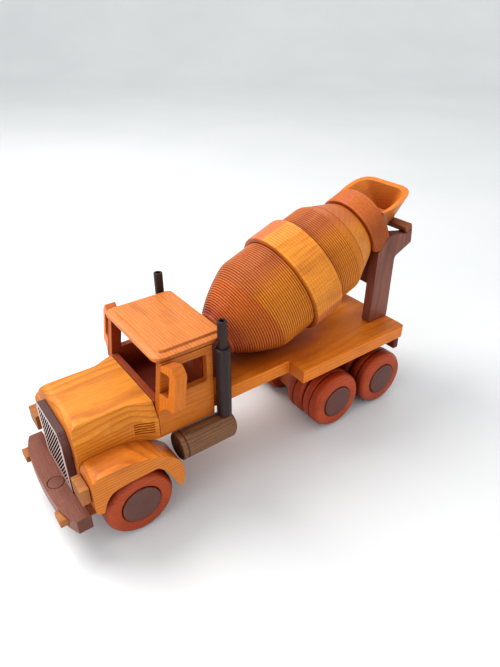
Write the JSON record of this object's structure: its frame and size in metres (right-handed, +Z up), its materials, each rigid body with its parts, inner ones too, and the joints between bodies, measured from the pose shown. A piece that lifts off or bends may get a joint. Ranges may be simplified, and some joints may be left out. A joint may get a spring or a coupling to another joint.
{
  "type": "toy cement mixer",
  "caption": "Wooden toy cement mixer lorry: long-nosed cab, flat deck, free-rolling wheels and a tilted drum that turns under a rear hopper.",
  "frame": {"origin": "middle of the footprint, on the ground under the toy", "axes": "+X forward to the bumper, +Y to the toy's left, +Z up"},
  "size_m": [0.3686, 0.123, 0.2089],
  "materials": {
    "cherry": "oiled, satin",
    "fir": "oiled, satin, strong growth lines",
    "red_wood": "oiled, satin",
    "dark_red_wood": "oiled",
    "walnut": "oiled, dark",
    "tan_wood": "oiled",
    "ebony": "oiled, near black",
    "grey_brown_wood": "oiled"
  },
  "bodies": {
    "truck": {"bumper": "walnut", "bumper_block_left": "tan_wood", "bumper_block_right": "tan_wood", "bumper_plug": "walnut", "cab_back": "cherry", "cab_cowl": "cherry", "cab_side_left": "cherry", "cab_side_right": "cherry", "chassis_board": "cherry", "collar": "cherry", "crossbar": "walnut", "drum_front_bearing": "dark_red_wood", "drum_rear_bearing": "dark_red_wood", "fender_left": "fir", "fender_right": "fir", "front_axle_block": "cherry", "fuel_tank_left": "grey_brown_wood", "fuel_tank_right": "grey_brown_wood", "grille": "walnut", "headlight_left": "tan_wood", "headlight_right": "tan_wood", "hood": "fir", "hopper": "fir", "mirror_left": "cherry", "mirror_right": "cherry", "post_left": "walnut", "post_right": "walnut", "rear_axle_block": "cherry", "rear_bar": "dark_red_wood", "roof": "fir", "stack_body_left": "ebony", "stack_body_right": "ebony", "stack_pipe_left": "ebony", "stack_pipe_right": "ebony"},
    "front_axle_set": {"front_axle": "tan_wood", "front_hub_cap_left": "walnut", "front_hub_cap_right": "walnut", "front_wheel_left": "red_wood", "front_wheel_right": "red_wood"},
    "rear_axle_1_set": {"rear_axle_1": "tan_wood", "rear_axle_1_hub_cap_left": "walnut", "rear_axle_1_hub_cap_right": "walnut", "rear_axle_1_inner_wheel_left": "red_wood", "rear_axle_1_inner_wheel_right": "red_wood", "rear_axle_1_outer_wheel_left": "red_wood", "rear_axle_1_outer_wheel_right": "red_wood"},
    "rear_axle_2_set": {"rear_axle_2": "tan_wood", "rear_axle_2_hub_cap_left": "walnut", "rear_axle_2_hub_cap_right": "walnut", "rear_axle_2_inner_wheel_left": "red_wood", "rear_axle_2_inner_wheel_right": "red_wood", "rear_axle_2_outer_wheel_left": "red_wood", "rear_axle_2_outer_wheel_right": "red_wood"},
    "drum_set": {"drum": "cherry", "drum_band": "fir", "drum_shaft": "tan_wood"}
  },
  "joints": [
    {"name": "front_axle_spin", "type": "hinge", "parent": "truck", "child": "front_axle_set", "pos_m": [0.12635, 0, 0.0283], "axis": [0, 1, 0], "continuous": true},
    {"name": "rear_axle_1_spin", "type": "hinge", "parent": "truck", "child": "rear_axle_1_set", "pos_m": [-0.07995, 0, 0.0283], "axis": [0, 1, 0], "continuous": true},
    {"name": "rear_axle_2_spin", "type": "hinge", "parent": "truck", "child": "rear_axle_2_set", "pos_m": [-0.14145, 0, 0.0283], "axis": [0, 1, 0], "continuous": true},
    {"name": "drum_spin", "type": "hinge", "parent": "truck", "child": "drum_set", "pos_m": [-0.05055, 0, 0.1386], "axis": [0.9309, 0, -0.3652], "continuous": true}
  ]
}
